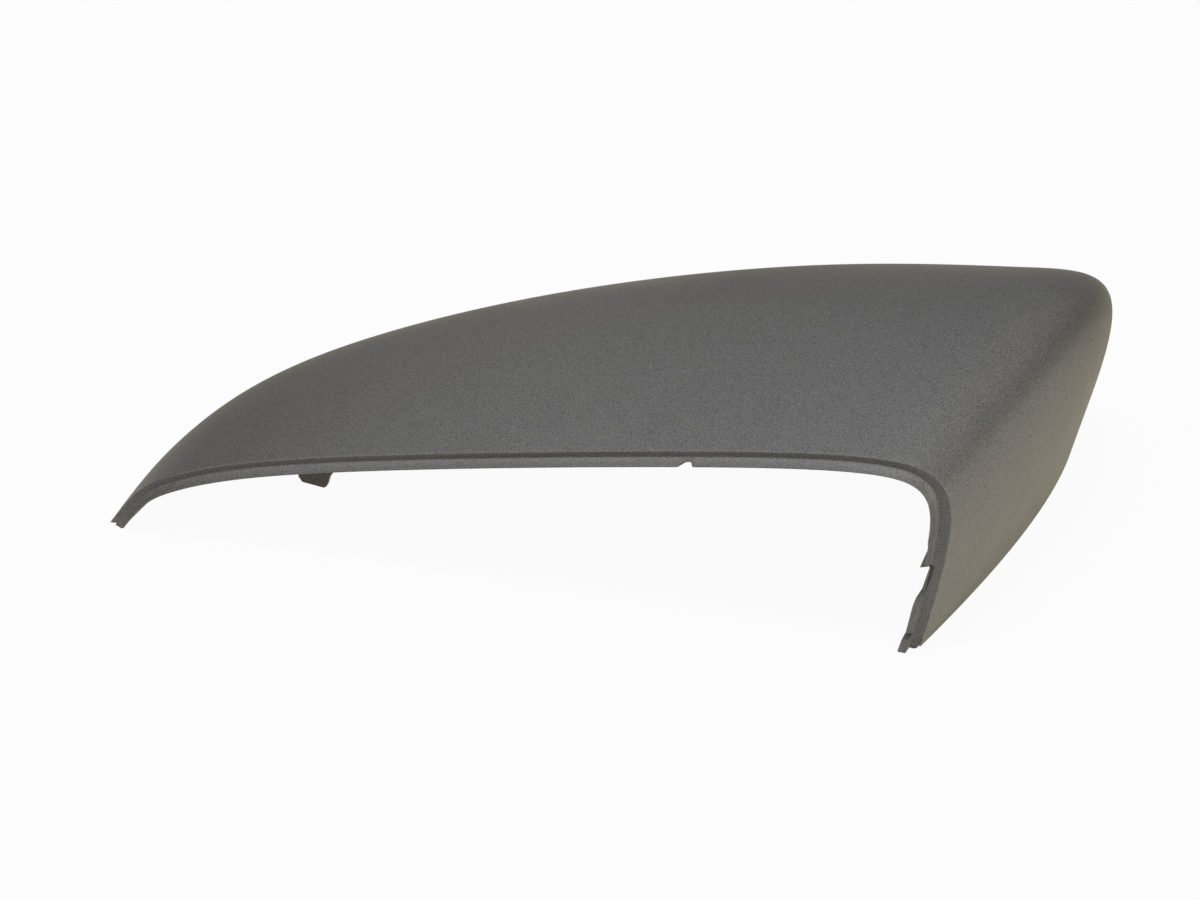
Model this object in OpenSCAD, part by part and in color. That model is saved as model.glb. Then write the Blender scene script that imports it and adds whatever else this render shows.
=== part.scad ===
// Wing mirror cover, right hand side: one moulded shell, open to the rear and below.
// Millimetres. X runs outboard, Y forwards, Z up; the cover stands on its lower edge.

/* [Outline] */
// Width of the rear opening, inboard tip to the foot of the outboard leg
rim_width = 214.3; // [190:0.1:240]
// Height of the rear rim's control line at the outboard corner
rim_height = 54.6; // [44:0.1:64]
// Depth from the rear rim to the front of the lower edge
cover_depth = 125; // [105:1:140]
// Wall thickness of the skin
wall = 2.5; // [2:0.1:3]
// Height of the skin's rear corners above the surface the cover stands on
corner_lift = 0.8; // [0.4:0.1:1.5]

/* [Skin angles] */
// Outward flare of the skin where it leaves the rim, at the inboard tip
flare_tip = 1; // [0:0.5:5]
// Flare at the inboard shoulder
flare_shoulder = 6.5; // [3:0.5:10]
// Flare over the crown
flare_crown = 15.5; // [8:0.5:20]
// Flare on the ridge between crown and outboard side
flare_ridge = 27; // [20:0.5:32]
// Flare at the foot of the outboard leg
flare_leg = 12; // [6:0.5:18]
// Outward lean of the front wall above its lower edge, under the crown
wall_lean = 12; // [6:0.5:14]

/* [Rear rim] */
// Step from the skin down to the lap flange, along the top
step_top = 1.7; // [1.2:0.1:2.2]
// The same step half way down the leg, where it is widest
step_leg = 3.4; // [2.6:0.1:4]
// The same step at the foot of the leg
step_foot = 2.4; // [2:0.1:3]
// How far the lap flange stands in from the bottom of the step
flange_in = 1.6; // [1.4:0.1:2]
// How far the lap flange stands out behind the skin's edge
flange_out = 2.2; // [1.6:0.1:3]
// Place of the locating notch in the flange, from the inboard tip
notch_place = 154; // [120:0.5:180]
// Width of the notch at its mouth
notch_width = 3.7; // [3:0.1:6]
// Place of the clip tab behind the flange, from the inboard tip
tab_place = 56; // [50:0.5:80]
// Lower end of the gap in the leg's flange
gap_low = 16.5; // [14:0.5:18]
// Upper end of the gap, at the snap hook
gap_high = 24; // [22:0.5:26]
// Height of the slit near the foot of the leg
slit_place = 4.3; // [3.5:0.1:6]

/* [Inside] */
// Number of stiffening ribs under the crown
rib_count = 5; // [3:1:7]
// Thickness of a rib
rib_thick = 1.5; // [1:0.1:2]
// Height of a rib inwards from the wall
rib_height = 3; // [2:0.5:5]
// Radius of the two locating pegs
peg_radius = 2.5; // [2:0.1:4]
// Free length of the pegs below their collars
peg_length = 12; // [8:0.5:16]
// Number of snap tongues inside the front edge
tongue_count = 3; // [2:1:4]
// Width of a snap tongue
tongue_width = 14; // [10:0.5:18]
// Thickness of a snap tongue
tongue_thick = 1.8; // [1.5:0.1:2.4]
// Space between a snap tongue and the front wall
tongue_space = 3; // [2:0.1:5]

/* [Hidden] */
cover_grey = [0.38, 0.38, 0.375];

// Control lines
// Ten columns run from the inboard tip, over the crown, round the ridge and down the leg.
// The rim line is [width, height], the lower edge [width, depth], both as shares of the outline.
rim_line = [[0, 0], [0.035, 0.2], [0.059, 0.28], [0.171, 0.465], [0.452, 0.685],
            [0.755, 0.892], [0.954, 1], [1.046, 0.923], [1.028, 0.478], [1, 0]];
edge_line = [[0, 0], [0.026, 0.12], [0.051, 0.308], [0.135, 0.568], [0.416, 0.862],
             [0.788, 1.004], [1.081, 0.988], [1.08, 0.945], [1.093, 0.534], [1, 0]];
columns = len(rim_line);
spans = columns - 3;
last = columns - 1;

// Values at the tip, shoulder, crown, ridge and leg
stations = [0, 3, 6, 7, last];
flare = [flare_tip, flare_shoulder, flare_crown, flare_ridge, flare_leg];
lean = [for (k = [0.33, 0.75, 1, 1.33, 0.5]) k * wall_lean];
rear_reach = [0.58, 0.7, 0.63, 0.89, 0.66];
front_reach = [0.67, 0.85, 1.03, 1.14, 0.77];
function at_column(values, i) = lookup(i, [for (k = [0:len(stations) - 1]) [stations[k], values[k]]]);

// Spline and curve weights
function knot(i) = min(max(i - 3, 0), spans) / spans;
function in_span(i, t) = (t >= knot(i) && t < knot(i + 1)) || (t >= 1 && i == spans + 2) ? 1 : 0;
function share(a, b) = b > 0 ? a / b : 0;
function weight(i, p, t) = p == 0 ? in_span(i, t)
    : share(t - knot(i), knot(i + p) - knot(i)) * weight(i, p - 1, t)
    + share(knot(i + p + 1) - t, knot(i + p + 1) - knot(i + 1)) * weight(i + 1, p - 1, t);
function bezier_weights(v) = [pow(1 - v, 3), 3 * v * pow(1 - v, 2), 3 * v * v * (1 - v), pow(v, 3)];
function mix(a, b, k) = a + (b - a) * k;
function unit(a) = a / norm(a);

// A control line moved sideways, mitred at each of its corners
function side(a, b) = let (d = unit(b - a)) [d[1], -d[0]];
function mitre(line, i) =
    i == 0 ? side(line[0], line[1])
    : i == last ? side(line[last - 1], line[last])
    : let (a = side(line[i - 1], line[i]), b = side(line[i], line[i + 1])) (a + b) / (1 + a * b);
// The ends of the rim line slide along it, back to the height of the lower edge
function end_slide(line, i) =
    i == 0 ? let (d = unit(line[1] - line[0])) d * (d[0] / d[1])
    : i == last ? let (d = unit(line[last - 1] - line[last])) d * (-d[0] / d[1])
    : [0, 0];

rim_xz = [for (p = rim_line) [p[0] * rim_width, corner_lift + p[1] * rim_height]];
edge_xy = [for (p = edge_line) [p[0] * rim_width, p[1] * cover_depth]];
function edge_z(y) = corner_lift * (1 - y / cover_depth);
function rim_point(i, inset, y) =
    let (p = rim_xz[i] + (mitre(rim_xz, i) + end_slide(rim_xz, i)) * inset) [p[0], y, p[1]];
function edge_point(i, inset) =
    let (p = edge_xy[i] + mitre(edge_xy, i) * inset) [p[0], p[1], edge_z(p[1])];

// One column of the skin's net, rim to lower edge: two ends and the two handles between
function column(i, start, foot) =
    let (out = -unit(mitre(rim_xz, i)), away = -unit(mitre(edge_xy, i)),
         back = at_column(rear_reach, i) * (foot[1] - start[1]),
         rise = at_column(front_reach, i) * (start[2] - foot[2]),
         f = tan(at_column(flare, i)), g = tan(at_column(lean, i)))
    [start,
     start + [f * out[0], 1, f * out[1]] * back,
     foot + [g * away[0], g * away[1], 1] * rise,
     foot];

// Outside of the skin
outer_net = [for (i = [0:last]) let (start = rim_point(i, 0, 0))
             column(i, start, i == 0 || i == last ? start : edge_point(i, 0))];

// Inside of the skin starts behind the flange, and meets the rim at the inboard tip
joggle = 5;
tip_gap = 0.4;
tip_inset = step_top + flange_in + tip_gap;
joggle_inset = [for (i = [0:last]) i == 0 ? tip_inset : i == 1 ? mix(tip_inset, wall, 0.6) : wall];
joggle_y = [for (i = [0:last]) i == 0 ? joggle * 0.3 : i == 1 ? joggle * 0.6 : joggle];
edge_wall = [for (i = [0:last]) wall * lookup(i, [[0, 0.3], [1, 0.3], [2, 0.5], [4, 1]])];
inner_net = [for (i = [0:last]) let (start = rim_point(i, joggle_inset[i], joggle_y[i]))
             column(i, start, i == 0 || i == last ? start : edge_point(i, edge_wall[i]))];

// Places along the rim, found from widths and heights on its finely stepped line
function rim_weights(u) = [for (i = [0:last]) weight(i, 3, u)];
fine = [for (k = [0:200]) [k / 200, rim_weights(k / 200) * rim_xz]];
crown_table = [for (f = fine) if (f[0] > 0.05 && f[0] < 0.75) [f[1][0], f[0]]];
leg_table = [for (f = fine) if (f[0] > 0.87) [f[1][1], f[0]]];
function u_at_width(x) = lookup(x, crown_table);
function u_at_height(z) = lookup(z, leg_table);
notch_u = [for (k = [-0.5, -0.1, 0.35, 0.5]) u_at_width(notch_place + k * notch_width)];
gap_lead = 2;
gap_edge = 0.3;
gap_shoulder = 2.8;
gap_u = [for (z = [gap_high + gap_lead, gap_high + gap_edge, gap_low, gap_low - gap_shoulder]) u_at_height(z)];
neck_high = 10;
neck_low = 7.5;
neck_u = [for (z = [neck_high, neck_low]) u_at_height(gap_high + z)];
slit_half = 0.4;
slit_lead = 0.5;
slit_u = [for (z = [slit_half + slit_lead, slit_half, -slit_half, -slit_half - slit_lead * 0.6])
          u_at_height(slit_place + z)];
rib_first = 0.24;
rib_last = 0.86;
rib_foot = 0.62;
rib_places = [for (k = [0:rib_count - 1])
              rim_width * mix(rib_first, rib_last, rib_count > 1 ? k / (rib_count - 1) : 0)];
rib_u = [for (x = rib_places) [for (k = [-1, -0.6, 0.6, 1]) u_at_width(x + k * rib_thick * rib_foot)]];
marks = concat([notch_u, [neck_u[0], neck_u[1], neck_u[1], neck_u[1]], gap_u, slit_u], rib_u);

// Even steps, left out where they come close to a mark
steps = 70;
mark_space = 0.003;
function clear_of(u, m) = u < m[0] - mark_space || u > m[3] + mark_space;
function clear_of_all(u) = len([for (m = marks) if (!clear_of(u, m)) 1]) == 0;
even_u = [for (k = [0:steps]) if (clear_of_all(k / steps)) k / steps];
function sorted(v) = len(v) <= 1 ? v
    : let (m = v[floor(len(v) / 2)])
      concat(sorted([for (x = v) if (x < m) x]), [m], sorted([for (x = v) if (x > m) x]));
rim_u = sorted(concat(even_u, [for (m = marks) each m]));
weights = [for (u = rim_u) rim_weights(u)];
count = len(rim_u);

// Places across the skin
outer_bands = 22;
inner_bands = 14;
outer_v = [for (k = [0:outer_bands]) k / outer_bands];
inner_v = [for (k = [0:inner_bands]) k / inner_bands];

function sheet(net, stops) =
    let (rows = [for (j = [0:3]) weights * [for (c = net) c[j]]])
    [for (s = [0:count - 1]) let (c = [for (j = [0:3]) rows[j][s]])
        [for (v = stops) bezier_weights(v) * c]];
outer = sheet(outer_net, outer_v);
inner_plain = sheet(inner_net, inner_v);

// Rear rim: step, lap flange and the joggle behind it, row by row
function step_at(i) = lookup(i, [[6, step_top], [7, mix(step_top, step_leg, 0.6)],
                                 [8, step_leg], [last, step_foot]]);
function flange_at(i) = flange_in * lookup(i, [[0, 1.2], [2, 1.15], [4, 1], [6, 1.1], [8, 1.15], [last, 1.2]]);
function rim_row(k, land, y) =
    weights * [for (i = [0:last]) rim_point(i, step_at(i) + k * flange_at(i) - land, y)];
undercut = 0.3;
thin_share = 0.2;
foot_turn = -0.7;
foot_out = 0.8;
foot_round = 0.8;
flange_land = 0.35;
heel = [for (i = [0:last]) step_at(i) * lookup(i, [[0, 0.85], [last, 0.25]])];
bevel = 0.25;
back_depth = 2;
seat_row = rim_row(0, 0, undercut);
bevel_row = rim_row(1, flange_land + bevel * 0.8, bevel - flange_out);
face_row = rim_row(1, flange_land, -flange_out);
back_row = rim_row(1, 0, -flange_out);
root_row = rim_row(1, 0, back_depth);
thin_row = rim_row(thin_share, 0, back_depth);
heel_row = weights * [for (i = [0:last]) rim_point(i, heel[i], undercut * heel[i] / step_at(i))];

// Shares of the full flange along the rim: notch, gap and slit cut into it, the foot tongue stands proud
flange_k = [for (u = rim_u) lookup(u, [[0, 1],
    [notch_u[0], 1], [notch_u[1], 0.5], [notch_u[2], 0.4], [notch_u[3], 1],
    [neck_u[0], 1], [neck_u[1], 0.75], [gap_u[0], 0.65], [gap_u[1], 0.05], [gap_u[2], 0.05], [gap_u[3], 1],
    [slit_u[0], 1], [slit_u[1], 0.15], [slit_u[2], 0.15], [slit_u[3], 1], [1, 1]])];
gap_k = [for (u = rim_u) lookup(u, [[neck_u[0], 0], [neck_u[1], 0.35], [gap_u[0], 0.35],
    [gap_u[1], 1], [gap_u[2], 0.6], [gap_u[3], 0]])];
foot_k = [for (u = rim_u) lookup(u, [[slit_u[2], 0], [slit_u[3], 0.7], [1, 1]])];
tip_k = [for (u = rim_u) lookup(u, [[0, 0.5], [0.1, 1]])];
tip_out = [for (u = rim_u) lookup(u, [[0, 0.5], [0.03, 1]])];
function toward(a, b, k) = [for (s = [0:count - 1]) mix(a[s], b[s], k[s])];
function squeeze(row) = [for (s = [0:count - 1]) [row[s][0], row[s][1] * tip_k[s], row[s][2]]];
function proud(row, round) = [for (s = [0:count - 1])
    [row[s][0] + (foot_turn + round) * foot_k[s],
     row[s][1] * tip_out[s] - (foot_out + round * 0.4) * foot_k[s], row[s][2]]];
seat = squeeze(seat_row);
root = squeeze(toward(root_row, thin_row, gap_k));
rim_rows = [squeeze(heel_row), seat, proud(toward(seat, bevel_row, flange_k), foot_round),
            proud(toward(seat, face_row, flange_k), 0), proud(toward(root, back_row, flange_k), 0), root];

// Ribs stand in from the inner wall at their places along the rim, and fade out at both ends
rib_fade = [[0, 0], [0.08, 0], [0.17, 1], [0.83, 1], [0.92, 0], [1, 0]];
function rib_at(u) = max([for (m = rib_u) lookup(u, [[m[0], 0], [m[1], 1], [m[2], 1], [m[3], 0]])]);
gap_fade = [[0, 1], [0.25, 0], [1, 0]];
function inwards(s, k) =
    let (along = inner_plain[s + 1][k] - inner_plain[s - 1][k],
         across = inner_plain[s][k + 1] - inner_plain[s][k - 1]) unit(cross(across, along));
thinned = [for (s = [0:count - 1]) (thin_row[s] - root_row[s]) * gap_k[s] * 0.4];
inner = [for (s = [0:count - 1]) let (rib = rib_at(rim_u[s]) * rib_height)
    [for (k = [0:len(inner_v) - 1]) let (v = inner_v[k], h = rib * lookup(v, rib_fade))
        inner_plain[s][k] + (h > 0 ? inwards(s, k) * h : [0, 0, 0]) + thinned[s] * lookup(v, gap_fade)]];

// Closed shell: a ring round the wall at each place along the rim, and a stepped end at each foot
outer_n = len(outer_v);
inner_n = len(inner_v);
rows_n = len(rim_rows);
ring_n = outer_n + inner_n + rows_n;
shell_points = [for (s = [0:count - 1]) each concat(outer[s],
    [for (k = [inner_n - 1:-1:0]) inner[s][k]], [for (k = [rows_n - 1:-1:0]) rim_rows[k][s]])];
// At both feet the outer sheet runs out to one point, and so does the inner sheet
function at_end(s) = s == 0 || s == count - 1;
function id(s, k) = s * ring_n + (!at_end(s) || k >= outer_n + inner_n ? k : k < outer_n ? 0 : outer_n);
function whole(face) = len([for (f = [face]) if (f[0] != f[1] && f[1] != f[2] && f[2] != f[0]) 1]) > 0;
function quad(a, b, c, d) = [for (f = [[a, b, c], [a, c, d]]) if (whole(f)) f];
shell_sides = [for (s = [0:count - 2]) for (k = [0:ring_n - 1]) let (n = (k + 1) % ring_n)
    each quad(id(s, k), id(s, n), id(s + 1, n), id(s + 1, k))];
// The flange runs on past the skin, down to the surface the cover stands on
lip_k = [for (k = [outer_n + inner_n:ring_n - 1]) k];
function foot_point(s, inwards, k) =
    let (p = shell_points[id(s, k)], q = shell_points[id(s + inwards, k)], d = q - p) p - d * (p[2] / d[2]);
foot_points = concat([for (k = lip_k) foot_point(0, 1, k)], [for (k = lip_k) foot_point(count - 1, -1, k)]);
foot_id = count * ring_n;
function foot_faces(s, first) = [for (j = [0:rows_n - 1]) let (m = (j + 1) % rows_n)
    each quad(id(s, lip_k[j]), id(s, lip_k[m]), first + m, first + j)];
function flip(faces) = [for (f = faces) [for (k = [len(f) - 1:-1:0]) f[k]]];
function end_faces(s, first) = concat(
    [[id(s, 0), id(s, outer_n), id(s, lip_k[0]), id(s, lip_k[rows_n - 1])]],
    foot_faces(s, first), [[for (j = [0:rows_n - 1]) first + j]]);
shell_ends = concat(flip(end_faces(0, foot_id)), end_faces(count - 1, foot_id + rows_n));

// The frame's origin is the middle of the whole cover, on the surface it stands on
all_points = concat(shell_points, foot_points);
function middle(axis) = let (v = [for (p = all_points) p[axis]]) (min(v) + max(v)) / 2;
origin = [middle(0), middle(1), 0];

module shell() {
    polyhedron(points = all_points, faces = concat(shell_sides, shell_ends), convexity = 8);
}

// A place on the inside of the skin, from shares along the rim and across the skin
inner_rows = [for (j = [0:3]) [for (c = inner_net) c[j]]];
function inner_at(u, v) = let (w = rim_weights(u)) bezier_weights(v) * [for (r = inner_rows) w * r];

// Locating pegs, hanging straight down under the crown
collar_length = 5;
collar_step = 1.5;
collar_root = wall * 0.45;
peg_sides = 48;
peg_shares = [0.43, 0.68];
peg_ahead = 0.3;
peg_seats = [for (u = peg_shares) inner_at(u, peg_ahead)];
module peg() {
    translate([0, 0, -peg_length - collar_length])
        cylinder(r = peg_radius, h = peg_length + collar_length, $fn = peg_sides);
    translate([0, 0, -collar_length])
        cylinder(r = peg_radius + collar_step, h = collar_length + collar_root, $fn = peg_sides);
}

// Snap tongues, standing off the front wall on a bent web, each with a window for its catch
tongue_first = 0.34;
tongue_last = 0.72;
tongue_shares = [for (k = [0:tongue_count - 1]) mix(tongue_first, tongue_last, k / (tongue_count - 1))];
tongue_low = 1.5;
tongue_bend = 12;
web_shares = [0.85, 0.91];
window_width = tongue_width * 0.55;
window_low = 4;
window_height = 4.5;
module tongue(u) {
    foot = inner_at(u, 1);
    along = unit(inner_at(u + 0.01, 1) - inner_at(u - 0.01, 1));
    ahead = [-along[1], along[0], 0];
    web = [for (v = web_shares) let (p = inner_at(u, v)) [(p - foot) * ahead + wall / 2, p[2]]];
    front = -tongue_space;
    back = -tongue_space - tongue_thick;
    translate([foot[0], foot[1], 0]) rotate(atan2(along[1], along[0])) difference() {
        translate([-tongue_width / 2, 0, 0]) rotate([90, 0, 90]) linear_extrude(tongue_width)
            polygon([[front, tongue_low], [front, tongue_bend - 1], web[1], web[0],
                     [back, tongue_bend + 1], [back, tongue_low]]);
        translate([-window_width / 2, back - 1, window_low])
            cube([window_width, tongue_thick + 2, window_height]);
    }
}

// Snap hook behind the gap in the leg, and clip tab under the rim near the tip
hook_thick = 2.5;
hook_drop = 7;
hook_barb = 2.2;
hook_below = 0.4;
hook_neck = 0.6;
hook_ahead = 0.5;
module snap_hook() {
    seat_line = [for (p = seat) if (p[2] > gap_high - 2 && p[0] > rim_width / 2) [p[2], p[0]]];
    z = gap_high - hook_below;
    x = lookup(gap_high, [for (k = [len(seat_line) - 1:-1:0]) seat_line[k]]);
    translate([0, hook_thick + hook_ahead, 0]) rotate([90, 0, 0]) linear_extrude(hook_thick)
        polygon([[x + hook_neck, z + hook_drop + 1.5], [x - hook_neck * 0.7, z + hook_drop],
                 [x - hook_neck - hook_barb, z], [x - hook_neck, z + 0.7], [x - 0.1, z + 2], [x + 1, z + 2]]);
}
tab_width = 9;
tab_drop = 7.2;
tab_thick = 2;
tab_ahead = 2.5;
tab_below = 1.8;
tab_nose = 1.2;
module clip_tab() {
    u = u_at_width(tab_place);
    root = rim_weights(u) * rim_xz;
    slope = rim_weights(u_at_width(tab_place + 2)) * rim_xz - root;
    half = tab_width / 2;
    rise = slope[1] * tab_width / 4;
    translate([root[0], tab_ahead + tab_thick, root[1] - tab_below])
        rotate([90, 0, 0]) linear_extrude(tab_thick) polygon([
            [-half, -rise], [-half, -tab_drop * 0.85], [-half * 0.78, -tab_drop - tab_nose / 3],
            [half * 0.51, -tab_drop - tab_nose], [half * 0.69, -tab_drop - tab_nose / 2],
            [half * 0.87, -tab_drop * 0.69], [half * 1.09, -tab_drop * 0.5], [half * 1.13, rise]]);
}

module mirror_cover() {
    color(cover_grey) translate(-origin) {
        shell();
        for (seat = peg_seats) translate(seat) peg();
        for (u = tongue_shares) tongue(u);
        snap_hook();
        clip_tab();
    }
}

mirror_cover();
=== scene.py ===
# %% [markdown]
# # Wing mirror cover, dressed for the studio
# A wing mirror cover is the painted cap on the back of a car's outside mirror. This one is the
# upper half for the right hand side, as it comes from the supplier: moulded in black plastic and
# sprayed with grey primer on the outside only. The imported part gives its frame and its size.
# Everything here is in that frame, so nothing has to be fitted afterwards.

# %% Load the frame
import math

import bmesh
import bpy
import numpy as np
from mathutils import Matrix, Vector


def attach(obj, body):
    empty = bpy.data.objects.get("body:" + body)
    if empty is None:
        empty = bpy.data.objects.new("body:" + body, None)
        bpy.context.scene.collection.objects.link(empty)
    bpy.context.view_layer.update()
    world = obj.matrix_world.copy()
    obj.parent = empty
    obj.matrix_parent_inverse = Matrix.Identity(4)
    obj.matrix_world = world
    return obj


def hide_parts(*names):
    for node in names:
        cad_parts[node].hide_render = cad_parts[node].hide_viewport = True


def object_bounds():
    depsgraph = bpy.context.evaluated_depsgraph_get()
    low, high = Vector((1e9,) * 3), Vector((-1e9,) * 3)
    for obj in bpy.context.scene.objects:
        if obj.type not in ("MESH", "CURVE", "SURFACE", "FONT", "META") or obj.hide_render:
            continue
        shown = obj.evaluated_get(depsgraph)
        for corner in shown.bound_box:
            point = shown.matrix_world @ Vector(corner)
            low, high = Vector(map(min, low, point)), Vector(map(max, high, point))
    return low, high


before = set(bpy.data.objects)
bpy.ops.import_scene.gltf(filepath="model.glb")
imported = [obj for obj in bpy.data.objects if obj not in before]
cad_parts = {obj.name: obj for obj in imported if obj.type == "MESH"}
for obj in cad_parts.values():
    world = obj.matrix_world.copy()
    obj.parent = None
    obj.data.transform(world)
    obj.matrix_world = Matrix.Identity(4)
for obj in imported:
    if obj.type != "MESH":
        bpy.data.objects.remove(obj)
cad_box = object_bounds()
print("CAD box, metres:", [[round(v, 4) for v in point] for point in cad_box])

# %% [markdown]
# ## Camera
# The photograph looks down at the open rear side, from a little outboard, through a long lens.
# A camera matrix is written out from the direction of view, because the picture is also turned by
# less than a degree, as a hand-held shot is.

# %% Camera
MM = 0.001
azimuth, elevation, roll = math.radians(16.5), math.radians(32), math.radians(0.73)
aim, distance, lens = Vector((-1.14, -21.11, 25)) * MM, 1.19, 139.23
back = Vector((math.sin(azimuth) * math.cos(elevation),
               -math.cos(azimuth) * math.cos(elevation),
               math.sin(elevation)))
right = Vector((math.cos(azimuth), math.sin(azimuth), 0))
up = back.cross(right)
tilt = Matrix.Rotation(-roll, 3, back)
right, up = tilt @ right, tilt @ up


def placed(name, data):
    obj = bpy.data.objects.new(name, data)
    bpy.context.scene.collection.objects.link(obj)
    return obj


camera = placed("camera", bpy.data.cameras.new("camera"))
camera.matrix_world = Matrix((right, up, back)).transposed().to_4x4()
camera.location = aim + back * distance
camera.data.sensor_width, camera.data.lens = 36, lens
camera.data.shift_x, camera.data.shift_y = 0.0017, -0.0181
bpy.context.scene.camera = camera
print("camera at", [round(v, 3) for v in camera.location])

# %% [markdown]
# ## Control lines of the skin
# The skin is one double-curved sheet. It could be sculpted, or lofted from sections, but a real
# cover is drawn from a few control lines, and so is this one. Ten columns run from the inboard tip,
# over the crown, round the ridge and down the outboard leg. A B-spline runs along them, and a
# four point Bezier runs across, from the rear rim to the lower edge. Changing a number moves the
# sheet smoothly, with no dents.

# %% Sizes and control lines, in millimetres
rim_width, rim_height, cover_depth = 214.3, 54.6, 125.0
wall, corner_lift, wall_lean = 2.5, 0.8, 12.0
step_top, step_leg, step_foot, flange_in, flange_out = 1.7, 3.4, 2.4, 1.6, 2.2
rim_line = np.array([[0, 0], [0.035, 0.2], [0.059, 0.28], [0.171, 0.465], [0.452, 0.685],
                     [0.755, 0.892], [0.954, 1], [1.046, 0.923], [1.028, 0.478], [1, 0]])
edge_line = np.array([[0, 0], [0.026, 0.12], [0.051, 0.308], [0.135, 0.568], [0.416, 0.862],
                      [0.788, 1.004], [1.081, 0.988], [1.08, 0.945], [1.093, 0.534], [1, 0]])
columns = len(rim_line)
last, spans = columns - 1, columns - 3
stations = [0, 3, 6, 7, last]


def at_columns(values, places=stations):
    return np.interp(np.arange(columns), places, values)


flare = np.tan(np.radians(at_columns([1, 6.5, 15.5, 27, 12])))
lean = np.tan(np.radians(at_columns([0.33, 0.75, 1, 1.33, 0.5]) * wall_lean))
rear_reach = at_columns([0.58, 0.7, 0.63, 0.89, 0.66])
front_reach = at_columns([0.67, 0.85, 1.03, 1.14, 0.77])
rim_xz = rim_line * [rim_width, rim_height] + [0, corner_lift]
edge_xy = edge_line * [rim_width, cover_depth]
print(columns, "columns,", spans, "spans")

# %% [markdown]
# ## Room for the wall
# The real cover has an even wall, thinner at the tip and at the lower edge. Pushing every point of
# the skin inwards along its normal would give that, but it folds up in the tight corners. Moving
# the control lines sideways, mitred where they turn, gives an inside as smooth as the outside.

# %% Moving a control line sideways, mitred at its corners
def unit(a):
    return a / np.linalg.norm(a, axis=-1, keepdims=True)


def mitres(line):
    along = unit(np.diff(line, axis=0))
    side = np.stack([along[:, 1], -along[:, 0]], 1)
    inner = (side[:-1] + side[1:]) / (1 + np.sum(side[:-1] * side[1:], 1, keepdims=True))
    return np.concatenate([side[:1], inner, side[-1:]])


rim_mitre, edge_mitre = mitres(rim_xz), mitres(edge_xy)
end_slide = np.zeros((columns, 2))
for end, neighbour, turn in ((0, 1, 1), (last, last - 1, -1)):
    way = unit(rim_xz[neighbour] - rim_xz[end])
    end_slide[end] = way * turn * way[0] / way[1]


def rim_points(inset, y):
    xz = rim_xz + (rim_mitre + end_slide) * np.reshape(inset, (-1, 1))
    return np.stack([xz[:, 0], np.broadcast_to(y, columns), xz[:, 1]], 1)


def edge_points(inset):
    xy = edge_xy + edge_mitre * np.reshape(inset, (-1, 1))
    return np.column_stack([xy, corner_lift * (1 - xy[:, 1] / cover_depth)])


print("the ends slide", np.round(end_slide[[0, last]], 2).tolist(), "for each mm of wall")

# %% [markdown]
# ## The sheet
# Each column has four control points: on the rear rim, a little in front of it, above the lower
# edge and on it. Blender's own NURBS surface could be drawn from such a net, but it can't be asked
# for the point at a chosen place along the rim, which the notch and the hook need. So the weights
# of the control points are worked out here, and a place on the sheet is a sum.

# %% The net of control points
def net(start, foot):
    foot = foot.copy()
    foot[[0, last]] = start[[0, last]]
    out, away = -unit(rim_mitre), -unit(edge_mitre)
    deep = (rear_reach * (foot[:, 1] - start[:, 1]))[:, None]
    rise = (front_reach * (start[:, 2] - foot[:, 2]))[:, None]
    rear = np.column_stack([flare * out[:, 0], np.ones(columns), flare * out[:, 1]])
    front = np.column_stack([lean * away[:, 0], lean * away[:, 1], np.ones(columns)])
    return np.stack([start, start + rear * deep, foot + front * rise, foot])


print("a net has", net(rim_points(0, 0), edge_points(0)).shape[0], "rows of control points")

# %% Any place on a net, u along the rim and v across
knots = np.clip(np.arange(columns + 4) - 3, 0, spans) / spans


def rim_weights(u):
    u = np.atleast_1d(np.asarray(u, float))[:, None]
    w = ((u >= knots[:-1]) & (u < knots[1:])).astype(float)
    w[u[:, 0] >= 1, last] = 1
    for degree in (1, 2, 3):
        count = len(knots) - 1 - degree
        start, end = knots[:count], knots[degree + 1:]
        rise, fall = knots[degree:degree + count] - start, end - knots[1:count + 1]
        w = (np.where(rise > 0, (u - start) / np.where(rise > 0, rise, 1), 0) * w[:, :count]
             + np.where(fall > 0, (end - u) / np.where(fall > 0, fall, 1), 0) * w[:, 1:])
    return w


def curve_weights(v):
    v = np.atleast_1d(np.asarray(v, float))
    return np.stack([(1 - v) ** 3, 3 * v * (1 - v) ** 2, 3 * v * v * (1 - v), v ** 3], 1)


def sheet(control, u, v):
    return np.einsum("si,vj,jik->svk", rim_weights(u), curve_weights(v), control)


print("halfway along, the columns weigh", np.round(rim_weights(0.5)[0], 2).tolist())

# %% Outside and inside nets, with the joggle in front of the flange
joggle, tip_inset = 5, step_top + flange_in + 0.4
joggle_inset = at_columns([tip_inset, 0.4 * tip_inset + 0.6 * wall, wall], [0, 1, 2])
joggle_y = joggle * at_columns([0.3, 0.6, 1], [0, 1, 2])
edge_wall = wall * at_columns([0.3, 0.3, 0.5, 1], [0, 1, 2, 4])
outer_net = net(rim_points(0, 0), edge_points(0))
inner_net = net(rim_points(joggle_inset, joggle_y), edge_points(edge_wall))
print("skin runs", np.round(sheet(outer_net, [0.6], [0, 0.5, 1])[0], 1).tolist(), "at the crown")

# %% [markdown]
# ## Marks along the rim
# The lap flange isn't even: it has a locating notch, a gap where the snap hook sits, and a slit near
# the foot of the leg. Their places are given as widths and heights, so a fine table turns these
# into places along the spline. Each change is rounded over a fraction of a millimetre, because a
# mould is cut with a small ball cutter and has no knife edges.

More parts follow.
